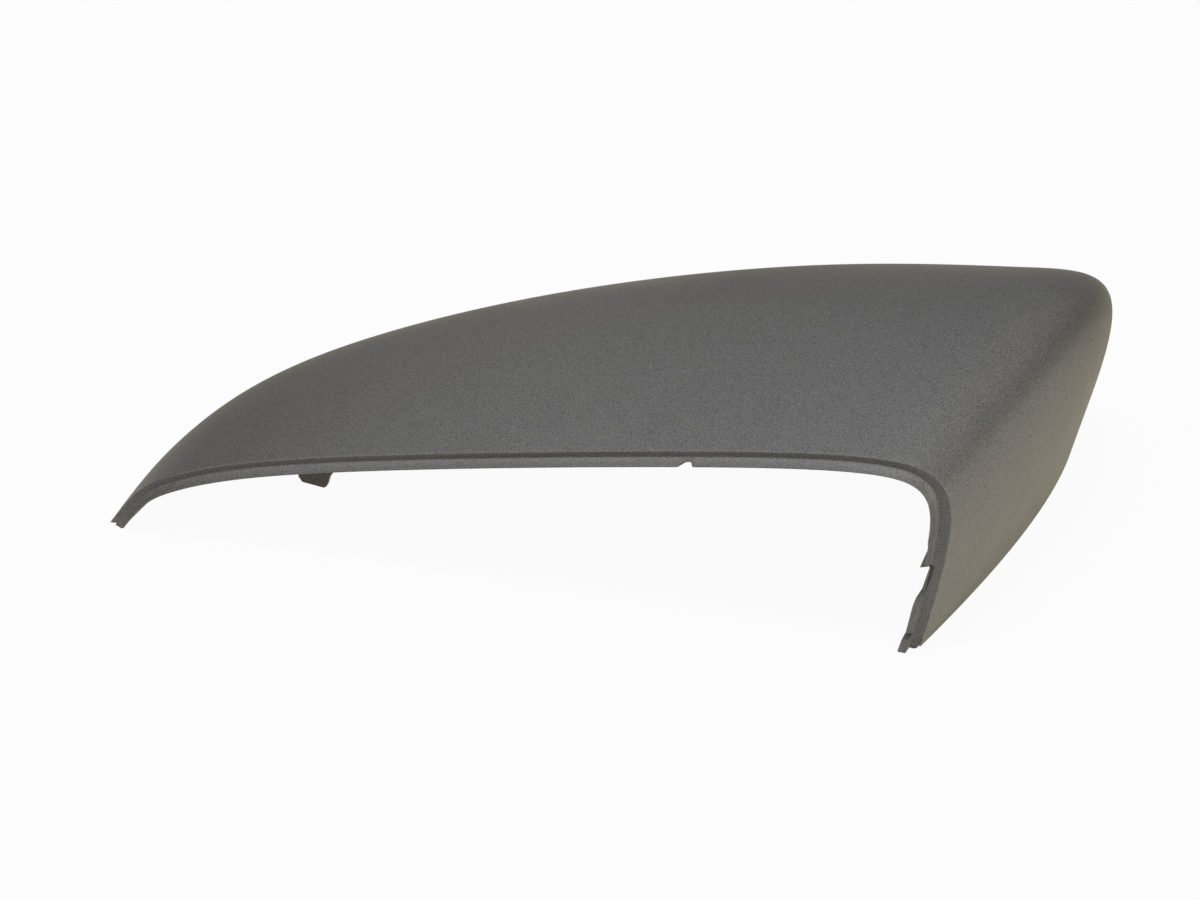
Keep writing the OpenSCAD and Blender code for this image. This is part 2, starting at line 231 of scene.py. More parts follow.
# %% Places of the notch, gap, slit and ribs
notch_place, notch_width, gap_low, gap_high, slit_place = 154, 3.7, 16.5, 24, 4.3
rib_count, rib_thick, rib_height = 5, 1.5, 3.0
fine = np.linspace(0, 1, 2001)
fine_rim = rim_weights(fine) @ rim_xz
on_crown, on_leg = (fine > 0.05) & (fine < 0.75), fine > 0.87


def u_at_width(x):
    return np.interp(x, fine_rim[on_crown, 0], fine[on_crown])


def u_at_height(z):
    return np.interp(z, fine_rim[on_leg, 1][::-1], fine[on_leg][::-1])


notch_u = u_at_width(notch_place + np.array([-0.5, -0.1, 0.35, 0.5]) * notch_width)
gap_u = u_at_height(np.array([gap_high + 2, gap_high + 0.3, gap_low, gap_low - 2.8]))
neck_u = u_at_height(np.array([gap_high + 10, gap_high + 7.5]))
slit_u = u_at_height(slit_place + np.array([0.7, 0.3, -0.2, -0.5]))
rib_x = rim_width * np.linspace(0.24, 0.86, rib_count)
rib_u = [u_at_width(x + np.array([-1, -0.6, 0.6, 1]) * rib_thick * 0.62) for x in rib_x]

soft = 0.0008
marks = np.concatenate([notch_u, neck_u, gap_u, slit_u, *rib_u])
near_marks = np.unique(np.round(np.add.outer(marks, [-soft, 0, soft]).ravel(), 6))
even = np.linspace(0, 1, 241)
clear = np.min(np.abs(even[:, None] - near_marks), axis=1) > soft
rim_u = np.unique(np.concatenate([even[clear], near_marks]))
print(len(rim_u), "places along the rim")

# %% Shares of the full flange along the rim
def rounded(x, table, reach=soft):
    xs, ys = zip(*table)
    return np.mean([np.interp(x + d, xs, ys) for d in np.linspace(-reach, reach, 9)], axis=0)


flange_share = rounded(rim_u, [
    (0, 1), (notch_u[0], 1), (notch_u[1], 0.43), (notch_u[2], 0.4), (notch_u[3], 1),
    (neck_u[0], 1), (neck_u[1], 0.75), (gap_u[0], 0.65),
    (gap_u[1], 0.05), (gap_u[2], 0.05), (gap_u[3], 1),
    (slit_u[0], 1), (slit_u[1], 0.15), (slit_u[2], 0.15), (slit_u[3], 1), (1, 1)])[:, None]
gap_share = rounded(rim_u, [(neck_u[0], 0), (neck_u[1], 0.35), (gap_u[0], 0.35),
                            (gap_u[1], 1), (gap_u[2], 0.6), (gap_u[3], 0)])[:, None]
foot_share = rounded(rim_u, [(slit_u[2], 0), (slit_u[3], 0.7), (1, 1)])[:, None]
tip_out = np.interp(rim_u, [0, 0.03], [0.5, 1])[:, None]
tip_share = np.interp(rim_u, [0, 0.05, 0.08, 0.11, 0.15], [0.5, 0.74, 0.87, 0.96, 1])[:, None]
rib_share = sum(rounded(rim_u, [(m[0], 0), (m[1], 1), (m[2], 1), (m[3], 0)]) for m in rib_u)
notch_share = float(flange_share[rim_u < neck_u[0]].min())
print("in the notch the flange keeps", round(notch_share, 2), "of its width")

# %% [markdown]
# ## Rim rows
# Behind the skin's edge the wall steps in and runs back as a thin lap flange, which the mirror's
# frame slides over. Each row of the rim is the rim line moved inwards by its own distance: heel and
# seat are the corners of the recess, bevel and face are the flange's end, and lap_back and root are
# its inner side. The notch, gap and slit could be cut with Booleans. Moving these rows towards each
# other makes them too, and the shell stays one closed sheet.

# %% Rows of the step and the flange
step_bend = step_top + (step_leg - step_top) * 0.6
step_in = at_columns([step_top, step_bend, step_leg, step_foot], [6, 7, 8, last])
lap_in = flange_in * at_columns([1.2, 1.15, 1, 1.1, 1.15, 1.2], [0, 2, 4, 6, 8, last])
heel_in = step_in * at_columns([0.85, 0.25], [0, last])
flange_land, bevel_size, undercut = 0.35, 0.25, 0.3
foot_turn, foot_out, foot_round, foot_slant = -0.7, 0.8, 1.5, 0.21
rim_w = rim_weights(rim_u)


def rim_row(share, land, y):
    return rim_w @ rim_points(step_in + share * lap_in - land, y)


def squeezed(row, share):
    return row * np.where([False, True, False], share, 1)


def toward(a, b, share):
    return a + (b - a) * share


def proud(row, turn):
    out = np.array([foot_turn + turn, -foot_out - turn * foot_slant, 0])
    return squeezed(row, tip_out) + out * foot_share


thin_row, root_row = rim_row(0.2, 0, 2), rim_row(1, 0, 2)
heel = squeezed(rim_w @ rim_points(heel_in, undercut * heel_in / step_in), tip_share)
seat = squeezed(rim_row(0, 0, undercut), tip_share)
root = squeezed(toward(root_row, thin_row, gap_share), tip_share)
bevel_row = rim_row(1, flange_land + bevel_size * 0.8, bevel_size - flange_out)
bevel = proud(toward(seat, bevel_row, flange_share), foot_round)
face = proud(toward(seat, rim_row(1, flange_land, -flange_out), flange_share), 0)
lap_back = proud(toward(root, rim_row(1, 0, -flange_out), flange_share), 0)
print("flange and foot reach back to", round(float(face[:, 1].min()), 2), "mm")

# %% [markdown]
# ## Inside, with its ribs
# Five low ribs under the crown keep the real shell stiff. They could be bars joined to it with a
# Boolean. But where the inner sheet is moved inwards over a narrow band, the ribs get rounded feet,
# fade out before the edges, and the shell stays one sheet.

# %% Outside and inside of the skin
outer_v = np.concatenate([[0, 0.004, 0.012], np.linspace(0.025, 0.97, 50), [0.99, 1]])
inner_v = np.concatenate([[0, 0.012], np.linspace(0.03, 0.97, 34), [0.99, 1]])
outer, inner = sheet(outer_net, rim_u, outer_v), sheet(inner_net, rim_u, inner_v)
rib_fade = rounded(inner_v, [(0.08, 0), (0.17, 1), (0.83, 1), (0.92, 0)], 0.02)
across = np.cross(np.gradient(inner, axis=1), np.gradient(inner, axis=0))
inwards = across / np.maximum(np.linalg.norm(across, axis=2, keepdims=True), 1e-9)
inner = inner + inwards * (rib_share[:, None] * rib_fade * rib_height)[:, :, None]
thinned = ((thin_row - root_row) * gap_share * 0.4)[:, None, :]
inner = inner + thinned * np.interp(inner_v, [0, 0.25], [1, 0])[None, :, None]
print("ribs stand", rib_height, "mm in from the wall")

# %% [markdown]
# ## One closed ring at each place
# At every place along the rim the wall is one closed ring of points: over the outside, round the
# lower edge, back along the inside, and round the flange. A Bevel modifier could round the corners,
# but on a net this fine it would fight with the narrow rows. Each corner row is instead replaced by
# four rows on a small arc, so the radius of each edge is chosen by itself.

# %% Rounded corners
def corner(before, at, after, radius):
    def cut(other):
        way = other - at
        length = np.maximum(np.linalg.norm(way, axis=1, keepdims=True), 1e-9)
        return at + way * np.minimum(radius / length, 0.45)
    a, b = cut(before), cut(after)
    return [(1 - k) ** 2 * a + 2 * k * (1 - k) * at + k * k * b for k in (0, 1 / 3, 2 / 3, 1)]


def rows_of(surface):
    return list(np.moveaxis(surface, 1, 0))


print("a corner row becomes", len(corner(heel, seat, bevel, 0.2)), "rows")

# %% [markdown]
# ## Primer thickness, with painted light and shade
# The primer is sprayed by hand, so its coat isn't even. It is fullest on the crown. The tone curves
# here hold that uneven coat together with painted light and shade: darker in the recess of the step,
# along the ridge and at the shoulder near the tip, where the gun turns, which is thin primer and
# painted shade, and darker towards the lower edge and in a patch on the far crown, which is painted
# shade. They are lighter on the flange and on the outboard side, which is painted light. It could be
# painted on with a brush, but as curves of the place along the rim (u) and across the skin (v) it
# follows the form when a size changes. One is the plain coat, and a higher number is lighter.

# %% How thick the coat lies, with painted light and shade
def hill(u, place, reach):
    return np.exp(-((u - place) / reach) ** 2)


def coat_and_painted_light_over(v):
    # Along the rim: darker at the shoulder near the tip, which is thin primer and painted shade.
    along = np.interp(rim_u, [0.1, 0.2, 0.27, 0.36, 0.46, 0.55, 0.79, 0.9],
                      [0.9, 0.69, 0.76, 0.92, 1.02, 0.99, 0.95, 1.03])
    # A dark band along the ridge: thin primer and painted shade.
    ridge_thin_coat_and_shade = hill(rim_u, 0.837, 0.021) * np.interp(v, [0, 0.12, 0.4], [0.15, 0.18, 0.32])
    # A darker patch on the far crown: painted shade.
    far_painted_shade = hill(rim_u, 0.54, 0.04) * np.interp(v, [0.3, 0.5], [0, 0.17])
    # Lighter on the outboard side: painted light.
    outboard = np.interp(rim_u, [0.6, 0.66, 0.76, 0.8], [0, 0.1, 0.1, 0])
    outboard = outboard * np.interp(v, [0.25, 0.45], [0, 1])
    # Lighter near the rim and darker towards the lower edge: painted light and shade.
    across_painted_shade = np.interp(v, [0, 0.25, 0.45, 0.75], [1.03, 1.03, 0.89, 0.85])
    return (along - ridge_thin_coat_and_shade - far_painted_shade + outboard) * across_painted_shade


def sprayed_inside(v):
    return np.interp(v, [0, 0.03, 0.12, 0.9, 0.985, 1], [0.6, 0.42, 0, 0, 0.4, 0.6])


# Lighter on the flange, brightest near the outboard corner: painted light.
lap_painted_light = np.interp(rim_u, [0.1, 0.5, 0.68, 0.74, 0.8, 0.85], [1.0, 1.2, 1.22, 1.45, 1.5, 1.15])
# Darker in the recess of the step: thin primer and painted shade.
recess_thin_coat_and_shade = np.interp(rim_u, [0, 0.1, 0.5, 0.75, 0.84, 0.9, 1], [0.8, 0.66, 0.56, 0.56, 0.66, 0.7, 0.82])
print("coat_and_painted_light", float(recess_thin_coat_and_shade.min()), "in the recess,", float(lap_painted_light.max()), "on the flange")

# %% The rings, row by row
ones = np.ones(len(rim_u))
web, foot_primed = 1 - gap_share[:, 0] * 0.9, foot_share[:, 0]
on_skin, on_edge, on_lap, at_lip = 0.25, 0.35, 0.2, 1.2
rings, primed, coats_and_painted_light = [], [], []


def add_rows(rows, share, coat_and_painted_light=1.0):
    rings.extend(rows)
    primed.extend(s * ones for s in ([share] * len(rows) if np.isscalar(share) else share))
    coats_and_painted_light.extend(c * ones for c in ([coat_and_painted_light] * len(rows) if np.isscalar(coat_and_painted_light) else coat_and_painted_light))


back_primed = [np.maximum(k * web, foot_primed) for k in (0.6, 0.75, 0.9, 1)]
# The skin's edge row and the recess rows take the recess's painted shade.
add_rows(corner(heel, outer[:, 0], outer[:, 1], on_skin), 1.0, [recess_thin_coat_and_shade, 0.5 + recess_thin_coat_and_shade * 0.5, 1, 1])
add_rows(rows_of(outer[:, 1:-1]), 1.0, [coat_and_painted_light_over(v) for v in outer_v[1:-1]])
# Darker round the lower edge: painted shade.
add_rows(corner(outer[:, -2], outer[:, -1], inner[:, -1], on_edge), 0.9, 0.88)
add_rows(corner(outer[:, -1], inner[:, -1], inner[:, -2], on_edge), 0.6)
add_rows(rows_of(inner[:, -2:0:-1]), [sprayed_inside(v) * ones for v in inner_v[-2:0:-1]])
add_rows(corner(inner[:, 1], inner[:, 0], root, at_lip), 0.55)
lip_first = len(rings)
add_rows(corner(inner[:, 0], root, lap_back, at_lip / 2), [0.5 + foot_primed * 0.5] * 4)
add_rows(corner(root, lap_back, face, on_skin), back_primed)
# The flange's end, bevel and seat rows take the flange's painted light, scaled for each row.
add_rows(corner(lap_back, face, bevel, on_lap), [web] * 4, [lap_painted_light * 0.75] * 4)
add_rows(corner(face, bevel, seat, on_skin), [web] * 4, [lap_painted_light * 0.65] * 4)
add_rows(corner(bevel, seat, heel, on_lap), [web] * 4, [lap_painted_light * 0.93, recess_thin_coat_and_shade, recess_thin_coat_and_shade, recess_thin_coat_and_shade])
add_rows([heel], 1.0, [recess_thin_coat_and_shade])
lip_last = len(rings) - 1
points, primed, coats_and_painted_light = np.stack(rings, 1), np.stack(primed, 1), np.stack(coats_and_painted_light, 1)
print(points.shape[0], "rings of", points.shape[1], "points")

# %% [markdown]
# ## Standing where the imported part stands
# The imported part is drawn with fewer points, so its flats cut a few hundredths of a millimetre off
# each curve. The finer cover is drawn smaller by just that much, and so stays inside the same box.

# %% Middle and scale
low, high = (np.array(c) / MM for c in cad_box)
beside_foot, foot_pulls = 1 / 70, (0, 0.07, 0.24)


def foot_rows(end, beside):
    lip = points[:, lip_first:lip_last + 1]
    p, d = lip[end], lip[beside] - lip[end]
    down = p - d * (p[:, 2:] / d[:, 2:])
    rows = [toward(p, down, 0.45), toward(p, down, 0.8), down]
    return [row + (row.mean(0) - row) * pull * [1, 1, 0] for row, pull in zip(rows, foot_pulls)]


feet = [foot_rows(end, np.argmin(np.abs(rim_u - near)))
        for end, near in ((0, beside_foot), (-1, 1 - beside_foot))]
everything = np.concatenate([points.reshape(-1, 3), *feet[0], *feet[1]])
middle = np.append((everything.min(0) + everything.max(0))[:2] / 2, 0)
size = np.ptp(everything, axis=0)
fit = MM * float(((high - low) / size).min())
print("size", np.round(size, 2), "mm, packed part", np.round(high - low, 2), "mm")
print("drawn at", round(fit / MM, 5), "of its own size")

# %% [markdown]
# ## The shell
# The real shell is one shot of plastic. A Solidify modifier could give a sheet its wall, but an
# even one, with no step and no flange. The rings are already closed, so each is joined to the next.
# Both ends stand on the mirror's case: there the flange is drawn down to it in three more rows, and
# the ends are closed. Each point carries its share of primer, and a tone for the primer's thickness
# together with painted light and shade.

# %% A piece of the cover
def as_object(name, bm):
    mesh = bpy.data.meshes.new(name)
    bm.to_mesh(mesh)
    bm.free()
    return placed(name, mesh)


def piece(name, bm, smooth_angle=42):
    bmesh.ops.recalc_face_normals(bm, faces=bm.faces)
    obj = as_object(name, bm)
    obj.data.shade_smooth()
    obj.data.set_sharp_from_angle(angle=math.radians(smooth_angle))
    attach(obj, "root")
    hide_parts("mirror_cover")
    return obj


# %% The shell as a mesh
def shell_mesh():
    bm = bmesh.new()
    share, coat_and_painted_light = bm.verts.layers.float.new("primed"), bm.verts.layers.float.new("coat_and_painted_light")

    def row_of(row, primers, thickness):
        made = []
        for p, k, c in zip(row, primers, thickness):
            made.append(bm.verts.new((p - middle) * fit))
            made[-1][share], made[-1][coat_and_painted_light] = k, c
        return made

    grid = [row_of(*rows) for rows in zip(points, primed, coats_and_painted_light)]
    for a, b in zip(grid, grid[1:]):
        for k in range(len(a)):
            bm.faces.new((a[k - 1], a[k], b[k], b[k - 1]))
    lip = slice(lip_first, lip_last + 1)
    for foot, end in zip(feet, (0, -1)):
        rows = [grid[end][lip]] + [row_of(row, primed[end, lip], coats_and_painted_light[end, lip]) for row in foot]
        for high_row, low_row in zip(rows, rows[1:]):
            for k in range(len(low_row)):
                bm.faces.new((high_row[k - 1], high_row[k], low_row[k], low_row[k - 1]))
        bm.faces.new(rows[-1])
        bm.faces.new(grid[end][:lip_first + 1] + grid[end][lip_last:])
    bmesh.ops.remove_doubles(bm, verts=bm.verts, dist=1e-7)
    return bm


shell = piece("cover_shell", shell_mesh())
print("shell has", len(shell.data.polygons), "faces")

# %% [markdown]
# ## Locating pegs
# Under the crown hang two pegs, which drop into holes in the mirror's case. On the real part they
# are turned into the mould as stepped bores. A profile spun round its axis gives the same form,
# with the small lead-in at the tip that lets it find its hole, and a fillet where the collar ends.

# %% Pegs
peg_radius, peg_length, collar_length, collar_step = 2.5, 12, 5, 1.5


def inner_at(u, v):
    return sheet(inner_net, [u], [v])[0, 0]


def peg(name, seat_point):
    tip = -peg_length - collar_length
    collar, collar_end = peg_radius + collar_step, -collar_length
    profile = [(0, tip), (peg_radius - 0.9, tip), (peg_radius - 0.6, tip + 0.08),
               (peg_radius - 0.08, tip + 0.9), (peg_radius, tip + 1.3),
               (peg_radius, collar_end - 0.5), (peg_radius + 0.12, collar_end - 0.15),
               (peg_radius + 0.4, collar_end), (collar - 0.3, collar_end),
               (collar - 0.06, collar_end + 0.1), (collar, collar_end + 0.35),
               (collar, -0.6), (collar, wall * 0.4), (0, wall * 0.4)]
    bm, sides = bmesh.new(), 64
    turn = np.linspace(0, 2 * math.pi, sides, endpoint=False)
    rows = []
    for radius, z in profile:
        ring = np.stack([radius * np.cos(turn), radius * np.sin(turn), np.full(sides, z)], 1)
        ring = ring + seat_point - middle
        rows.append([bm.verts.new(p * fit) for p in (ring if radius else ring[:1])])
    for a, b in zip(rows, rows[1:]):
        for k in range(sides):
            around = [a[(k - 1) % len(a)], a[k % len(a)], b[k % len(b)], b[(k - 1) % len(b)]]
            bm.faces.new([v for i, v in enumerate(around) if v not in around[:i]])
    return piece(name, bm)


peg_seats = {"inboard": inner_at(0.43, 0.3), "outboard": inner_at(0.68, 0.3)}
bare_pieces = [peg("locating_peg_" + side, place) for side, place in peg_seats.items()]
for side, place in peg_seats.items():
    print(side, "peg reaches down to", round(place[2] - peg_length - collar_length, 1), "mm")

# %% [markdown]
# ## Snap tongues, hook and clip tab
# These are flat ribs of plastic with a shaped side view, so each is a side view pushed out to its
# width. The tongues have a window for their catch, which is cut with a Boolean modifier, and a Bevel
# modifier then breaks all the sharp edges at once. The modifiers are applied, so that the finished
# piece is a plain mesh.

# %% Pushed-out side views
def pushed_out(outline, depth, place):
    bm = bmesh.new()
    ends = [[bm.verts.new(Vector(place(a, b, w)) * fit) for a, b in outline] for w in (0, depth)]
    bm.faces.new(ends[0])
    bm.faces.new(ends[1][::-1])
    for k in range(len(outline)):
        bm.faces.new((ends[0][k - 1], ends[0][k], ends[1][k], ends[1][k - 1]))
    bmesh.ops.recalc_face_normals(bm, faces=bm.faces)
    return bm


def finished(name, bm, edge, cutter=None):
    blank = as_object(name + "_blank", bm)
    if cutter is not None:
        cut = blank.modifiers.new("window", "BOOLEAN")
        cut.operation, cut.solver, cut.object = "DIFFERENCE", "EXACT", cutter
    bevel_edges = blank.modifiers.new("broken edges", "BEVEL")
    bevel_edges.width, bevel_edges.segments, bevel_edges.limit_method = edge * MM, 3, "ANGLE"
    bevel_edges.angle_limit = math.radians(25)
    bevel_edges.use_clamp_overlap = True
    evaluated = blank.evaluated_get(bpy.context.evaluated_depsgraph_get())
    applied = bmesh.new()
    applied.from_mesh(evaluated.to_mesh())
    bpy.data.objects.remove(blank)
    if cutter is not None:
        bpy.data.objects.remove(cutter)
    return piece(name, applied, 35)


# %% Tongues with their windows
tongue_count, tongue_width, tongue_thick, tongue_space = 3, 14, 1.8, 3
tongue_low, tongue_bend = 1.5, 12
window_width, window_height, window_low = tongue_width * 0.55, 4.5, tongue_low + 2.5


def tongue(name, u):
    foot = inner_at(u, 1)
    along = unit(inner_at(u + 0.01, 1) - inner_at(u - 0.01, 1))
    ahead = np.array([-along[1], along[0], 0])
    side_way = np.array([along[0], along[1], 0])
    web_points = [((p - foot) @ ahead + wall / 2, p[2]) for p in (inner_at(u, 0.85), inner_at(u, 0.91))]
    front, behind = -tongue_space, -tongue_space - tongue_thick
    outline = [(front, tongue_low), (front, tongue_bend - 1), web_points[1], web_points[0],
               (behind, tongue_bend + 1), (behind, tongue_low)]
    ground = np.array([foot[0], foot[1], 0]) - middle

    def place(a, b, w):
        return ground + ahead * a + np.array([0, 0, b]) + side_way * (w - tongue_width / 2)

    window = [(behind - 1, window_low), (front + 1, window_low),
              (front + 1, window_low + window_height), (behind - 1, window_low + window_height)]
    window_start = (tongue_width - window_width) / 2
    cutter = as_object(name + "_cutter", pushed_out(
        window, window_width, lambda a, b, w: place(a, b, w + window_start)))
    return finished(name, pushed_out(outline, tongue_width, place), 0.3, cutter)


for k, u in enumerate(np.linspace(0.34, 0.72, tongue_count)):
    bare_pieces.append(tongue(f"snap_tongue_{k + 1}", u))
print(tongue_count, "tongues")

# %% Snap hook in the leg
hook_thick, hook_drop, hook_barb, hook_neck, hook_back = 2.5, 7, 2.2, 0.6, 0.5
leg_seat = seat[(seat[:, 2] > gap_high - 2) & (seat[:, 0] > rim_width / 2)][::-1]
hook_x, hook_z = np.interp(gap_high, leg_seat[:, 2], leg_seat[:, 0]), gap_high - 0.4
hook_outline = [(hook_x + hook_neck, hook_z + hook_drop + 1.5),
                (hook_x - hook_neck * 0.7, hook_z + hook_drop),
                (hook_x - hook_neck - hook_barb, hook_z), (hook_x - hook_neck, hook_z + 0.7),
                (hook_x - 0.1, hook_z + 2), (hook_x + 1, hook_z + 2)]
hook = finished("snap_hook", pushed_out(
    hook_outline, hook_thick, lambda a, b, w: np.array([a, hook_back + w, b]) - middle), 0.2)
print("hook at height", round(float(hook_z), 1), "mm")

# %% Clip tab under the rim
tab_place, tab_width, tab_drop, tab_thick = 56, 9, 7.2, 2
tab_nose, tab_back, tab_below = 1.2, 2.5, 1.8
tab_root = (rim_weights(u_at_width(tab_place)) @ rim_xz)[0]
tab_slope = ((rim_weights(u_at_width(tab_place + 2)) @ rim_xz)[0] - tab_root)[1]
half, tab_rise = tab_width / 2, tab_slope * tab_width / 4
tab_outline = [(-half, -tab_rise), (-half, -tab_drop * 0.85), (-half * 0.78, -tab_drop - tab_nose / 3),
               (half * 0.51, -tab_drop - tab_nose), (half * 0.69, -tab_drop - tab_nose / 2),
               (half * 0.87, -tab_drop * 0.69), (half * 1.09, -tab_drop * 0.5), (half * 1.13, tab_rise)]
tab_start = np.array([tab_root[0], tab_back, tab_root[1] - tab_below]) - middle
tab = finished("clip_tab", pushed_out(
    tab_outline, tab_thick, lambda a, b, w: tab_start + np.array([a, w, b])), 0.25)
bare_pieces += [hook, tab]
print("tab", round(float(tab_root[0]), 1), "mm from the tip")

# %% [markdown]
# ## Writing a finish
# A material is a small program. It could be drawn with nodes and wires by hand, but many wires are
# hard to read. So one class wraps a node's output and lets a finish be written as sums, and one
# method adds any other node with its settings and inputs.

# %% Wires that can be added and multiplied
class Wire:
    def __init__(self, finish, socket):
        self.finish, self.socket = finish, socket

    def maths(self, operation, *values):
        return self.finish.node("ShaderNodeMath", {"operation": operation}, dict(enumerate(values)))

    def __add__(self, other):
        return self.maths("ADD", self, other)

    def __radd__(self, other):
        return self.maths("ADD", other, self)

    def __sub__(self, other):
        return self.maths("SUBTRACT", self, other)

    def __rsub__(self, other):
        return self.maths("SUBTRACT", other, self)

    def __mul__(self, other):
        return self.maths("MULTIPLY", self, other)

    def __rmul__(self, other):
        return self.maths("MULTIPLY", other, self)

    def between(self, low, high):
        return self.finish.node("ShaderNodeMapRange", {"interpolation_type": "SMOOTHSTEP"},
                                {"Value": self, "From Min": low, "From Max": high})


# %% A finish, for a material or for the surroundings
class Finish:
    def __init__(self, owner):
        self.owner = owner
        owner.use_nodes = True
        self.tree = owner.node_tree
        self.tree.nodes.clear()

    def node(self, kind, settings=None, sockets=None, output=0):
        made = self.tree.nodes.new(kind)
        for name, value in (settings or {}).items():
            setattr(made, name, value)
        for name, value in (sockets or {}).items():
            if isinstance(value, Wire):
                self.tree.links.new(value.socket, made.inputs[name])
            else:
                made.inputs[name].default_value = value
        return Wire(self, made.outputs[output]) if len(made.outputs) else made

    def noise(self, size_mm, detail=2.0, rough=0.5):
        place = self.node("ShaderNodeTexCoord", output="Object")
        return self.node("ShaderNodeTexNoise", sockets={
            "Vector": place, "Scale": 1000 / size_mm, "Detail": detail, "Roughness": rough})

    def mixed(self, share, a, b):
        return self.node("ShaderNodeMix", {"data_type": "RGBA"}, {0: share, 6: a, 7: b}, output=2)

    def toned(self, colour, tone):
        double = [2 * channel for channel in colour[:3]]
        return self.mixed(tone * 0.5, (0, 0, 0, 1), (*double, 1))

    def flowed(self, size_mm, dark, light):
        return self.mixed(self.noise(size_mm, 4, 0.6).between(0.35, 0.7) * 0.6, dark, light)

    def satin(self, colour, rough, height, strength):
        normal = self.node("ShaderNodeBump", sockets={
            "Strength": strength, "Distance": 0.00003, "Height": height})
        return self.surface(self.node("ShaderNodeBsdfPrincipled", sockets={
            "Base Color": colour, "Roughness": rough, "Normal": normal, "IOR": 1.5}))

    def surface(self, shader, output="ShaderNodeOutputMaterial"):
        self.node(output, sockets={"Surface": shader})
        return self.owner


def finish_for(name):
    return Finish(bpy.data.materials.new(name))


# %% Colours, from the 0 to 255 of a picture to amounts of light
def grey(red, green, blue):
    channels = [c / 255 for c in (red, green, blue)]
    linear = [c / 12.92 if c <= 0.04045 else ((c + 0.055) / 1.055) ** 2.4 for c in channels]
    return (*linear, 1)


print("a middle grey of 128 gives back", round(grey(128, 128, 128)[0], 3), "of the light")

# %% [markdown]
# ## Primer over black plastic
# Primer is a matt paint with a fine dry grain. Sprayed on, it lies in a very shallow orange peel,
# and it drifts a little in tone where the coats overlap. Only the outside is sprayed. At the edges
# the spray drifts round as single dots, so the primer's share, kept on each point of the mesh, is
# compared with a fine noise, which breaks the border into dots as overspray is.

# %% Primed plastic
def primed_over_black():
    f = finish_for("primed_plastic")
    grain = f.noise(0.25, 2, 0.6)
    fleck = f.noise(0.8, 2)
    drift = f.noise(70, 2)
    patch = f.noise(9, 3)
    # The coat attribute holds the primer's thickness together with painted light and shade.
    coat_and_painted_light = f.node("ShaderNodeAttribute", {"attribute_name": "coat_and_painted_light"}, output="Fac")
    specks = (grain - 0.5) * 4.0 + (fleck - 0.5) * 0.4
    clouds = (drift - 0.5) * 0.14 + (patch - 0.5) * 0.1
    primer = f.toned(grey(104, 103, 102), coat_and_painted_light * (1 + specks + clouds))
    dust = f.noise(2.2, 1).between(0.83, 0.86)
    primer = f.mixed(dust * 0.35, primer, grey(150, 150, 148))
    bare_tone = f.flowed(14, grey(27, 27, 28), grey(38, 38, 39))
    primer_rough = 0.54 + (grain - 0.5) * 0.2 + (patch - 0.5) * 0.12
    bare_rough = 0.42 + (f.noise(0.8, 2) - 0.5) * 0.25 + (f.noise(30, 3) - 0.5) * 0.2
    peel = f.noise(1.6, 1) * 0.8 + grain * 0.35
    tool_grain = f.noise(0.5, 2) * 0.5 + f.noise(6, 1) * 0.3
    share = f.node("ShaderNodeAttribute", {"attribute_name": "primed"}, output="Fac")
    covered = ((share * 1.25 - grain) * 7 + 0.5).between(0.0, 1.0)
    colour = f.mixed(covered, bare_tone, primer)
    rough = bare_rough + (primer_rough - bare_rough) * covered
    height = tool_grain + (peel - tool_grain) * covered
    return f.satin(colour, rough, height, 0.35)


shell.data.materials.append(primed_over_black())
print("finish on the shell:", shell.data.materials[0].name)

# %% [markdown]
# ## Bare black plastic
# The ribs, pegs and tongues are never sprayed on purpose. They keep the satin of the mould, with a
# slight cloudiness where the plastic flowed. What stands near the rim catches some overspray, so
# the same finish is made three times, with more and more dust on it.

# %% Black plastic, with a little or more overspray
def bare(name, dust):
    f = finish_for(name)
    grain = f.noise(0.34, 3, 0.6)
    covered = ((dust - grain) * 7 + 0.5).between(0.0, 1.0)
    tone = f.flowed(10, grey(24, 24, 25), grey(36, 36, 37))
    colour = f.mixed(covered, tone, grey(88, 87, 85))
    rough = 0.42 + (f.noise(0.8, 2) - 0.5) * 0.25 + covered * 0.15
    return f.satin(colour, rough, f.noise(0.5, 2) * 0.5 + f.noise(5, 1) * 0.4, 0.3)


bare_plastic, dusted_plastic = bare("bare_plastic", 0.25), bare("dusted_plastic", 0.4)
sprayed_plastic = bare("sprayed_plastic", 0.56)
for obj in bare_pieces:
    obj.data.materials.append({hook: sprayed_plastic, tab: dusted_plastic}.get(obj, bare_plastic))
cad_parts["mirror_cover"].data.materials.clear()
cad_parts["mirror_cover"].data.materials.append(bare_plastic)
print(len(bare_pieces), "bare pieces")

# %% [markdown]
# ## Floor
# The photograph's background is plain white. The floor is a pale matt sheet, shown to the camera
# mostly as white, so that the object's shadow still lies on it. In a reflection it is a warm white,
# which gives the outboard side its tint. From below it is clear, so that the inside can be seen.

# %% Floor
def light_path(f):
    kinds = ("Is Camera Ray", "Is Glossy Ray", "Is Transmission Ray")
    return [f.node("ShaderNodeLightPath", output=kind) for kind in kinds]


